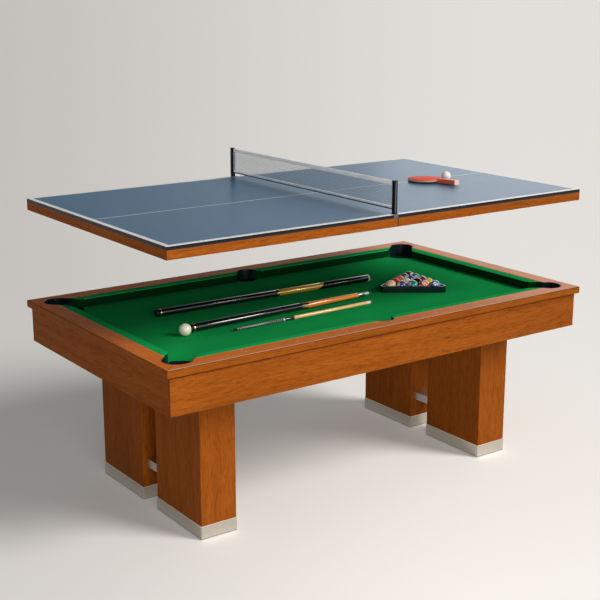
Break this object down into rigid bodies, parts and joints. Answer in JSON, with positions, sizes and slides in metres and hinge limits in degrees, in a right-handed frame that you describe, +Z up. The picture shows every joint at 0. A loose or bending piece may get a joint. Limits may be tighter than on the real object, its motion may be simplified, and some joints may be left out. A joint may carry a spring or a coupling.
{
  "type": "pool table",
  "caption": "Six-pocket pool table on box legs, with a lift-off table tennis top and net, cues, racked balls, paddle and ball.",
  "frame": {"origin": "on the floor under the middle of the table", "axes": "+X along the table, +Z up, -Y is the front long side"},
  "size_m": [2.14, 1.23, 1.383],
  "materials": {
    "rail_veneer": "satin lacquered cherry veneer, grain along the rail",
    "apron_veneer": "satin lacquered cherry veneer, grain along the board",
    "leg_veneer": "satin lacquered cherry veneer, grain upright",
    "top_frame_veneer": "satin lacquered cherry veneer, grain along the bar",
    "frame_timber": "planed softwood",
    "slab_board": "bare fibreboard",
    "bed_baize": "napped green cloth",
    "cushion_baize": "napped green cloth over rubber",
    "pocket_plastic": "glossy black moulding",
    "shoe_steel": "brushed, bright edges",
    "foot_rubber": "matt",
    "bolt_steel": "zinc plated",
    "sight_pearl": "polished inlay",
    "board_lacquer": "slate blue satin lacquer with white lines and black edge",
    "dowel_beech": "turned beech",
    "bracket_chrome": "polished",
    "post_enamel": "black enamel with a grey groove",
    "net_mesh": "fine dark net with a white tape",
    "cue_black_lacquer": "black lacquer, gilt rings and splice",
    "cue_spliced_wood": "black butt, varnished ash shaft",
    "cue_wrapped_wood": "wound handle, varnished maple shaft",
    "rack_plastic": "black moulding",
    "ball_resin": "polished resin in the usual ball colours",
    "cue_ball_resin": "polished ivory white resin",
    "paddle_rubber": "red rubber over black, on a ply core",
    "paddle_wood": "red stained handle with a pale end",
    "celluloid": "plain white"
  },
  "bodies": {
    "root": {"rail_front": "rail_veneer", "rail_back": "rail_veneer", "rail_left": "rail_veneer", "rail_right": "rail_veneer", "apron_front": "apron_veneer", "apron_back": "apron_veneer", "apron_left": "apron_veneer", "apron_right": "apron_veneer", "leg_front_left": "leg_veneer", "leg_front_right": "leg_veneer", "leg_back_left": "leg_veneer", "leg_back_right": "leg_veneer", "frame_beams": "frame_timber", "frame_cross_members": "frame_timber", "leg_plate_left": "frame_timber", "leg_plate_right": "frame_timber", "apron_corner_blocks": "frame_timber", "bed_cleats": "frame_timber", "bed_slab": "slab_board", "bed_cloth": "bed_baize", "cushion_front_left": "cushion_baize", "cushion_front_right": "cushion_baize", "cushion_back_left": "cushion_baize", "cushion_back_right": "cushion_baize", "cushion_left_end": "cushion_baize", "cushion_right_end": "cushion_baize", "pocket_front_left": "pocket_plastic", "pocket_front_middle": "pocket_plastic", "pocket_front_right": "pocket_plastic", "pocket_back_left": "pocket_plastic", "pocket_back_middle": "pocket_plastic", "pocket_back_right": "pocket_plastic", "shoe_front_left": "shoe_steel", "shoe_front_right": "shoe_steel", "shoe_back_left": "shoe_steel", "shoe_back_right": "shoe_steel", "stretcher_left": "shoe_steel", "stretcher_right": "shoe_steel", "foot_pads": "foot_rubber", "rail_bolts": "bolt_steel", "leg_bolts": "bolt_steel", "rail_sights": "sight_pearl", "object_balls": "ball_resin"},
    "top_left": {"top_board_left": "board_lacquer", "top_frame_left": "top_frame_veneer", "top_dowels": "dowel_beech", "net_brackets": "bracket_chrome"},
    "top_right": {"top_board_right": "board_lacquer", "top_frame_right": "top_frame_veneer"},
    "net": {"net": "net_mesh", "net_post_front": "post_enamel", "net_post_back": "post_enamel"},
    "rack": {"rack": "rack_plastic"},
    "cue_ball": {"cue_ball": "cue_ball_resin"},
    "cue_black": {"cue_black": "cue_black_lacquer"},
    "cue_spliced": {"cue_spliced": "cue_spliced_wood"},
    "cue_wrapped": {"cue_wrapped": "cue_wrapped_wood"},
    "paddle": {"paddle_blade": "paddle_rubber", "paddle_handle": "paddle_wood"},
    "tennis_ball": {"tennis_ball": "celluloid"}
  },
  "joints": [
    {"name": "top_lift", "type": "slide", "parent": "root", "child": "top_left", "axis": [0, 0, 1], "range_m": [-0.3967, 0]},
    {"name": "top_part", "type": "slide", "parent": "top_left", "child": "top_right", "axis": [1, 0, 0], "range_m": [0, 0.15]},
    {"name": "net_lift", "type": "slide", "parent": "top_left", "child": "net", "axis": [0, 0, 1], "range_m": [0, 0.12]},
    {"name": "rack_lift", "type": "slide", "parent": "root", "child": "rack", "axis": [0, 0, 1], "range_m": [0, 0.15]},
    {"name": "cue_ball_roll", "type": "slide", "parent": "root", "child": "cue_ball", "axis": [0, -1, 0], "range_m": [-0.61, 0.318]},
    {"name": "cue_black_lift", "type": "slide", "parent": "root", "child": "cue_black", "axis": [0, 0, 1], "range_m": [0, 0.15]},
    {"name": "cue_spliced_lift", "type": "slide", "parent": "root", "child": "cue_spliced", "axis": [0, 0, 1], "range_m": [0, 0.15]},
    {"name": "cue_wrapped_lift", "type": "slide", "parent": "root", "child": "cue_wrapped", "axis": [0, 0, 1], "range_m": [0, 0.15]},
    {"name": "paddle_lift", "type": "slide", "parent": "top_right", "child": "paddle", "axis": [0, 0, 1], "range_m": [0, 0.15]},
    {"name": "tennis_ball_lift", "type": "slide", "parent": "top_right", "child": "tennis_ball", "axis": [0, 0, 1], "range_m": [0, 0.15]}
  ]
}
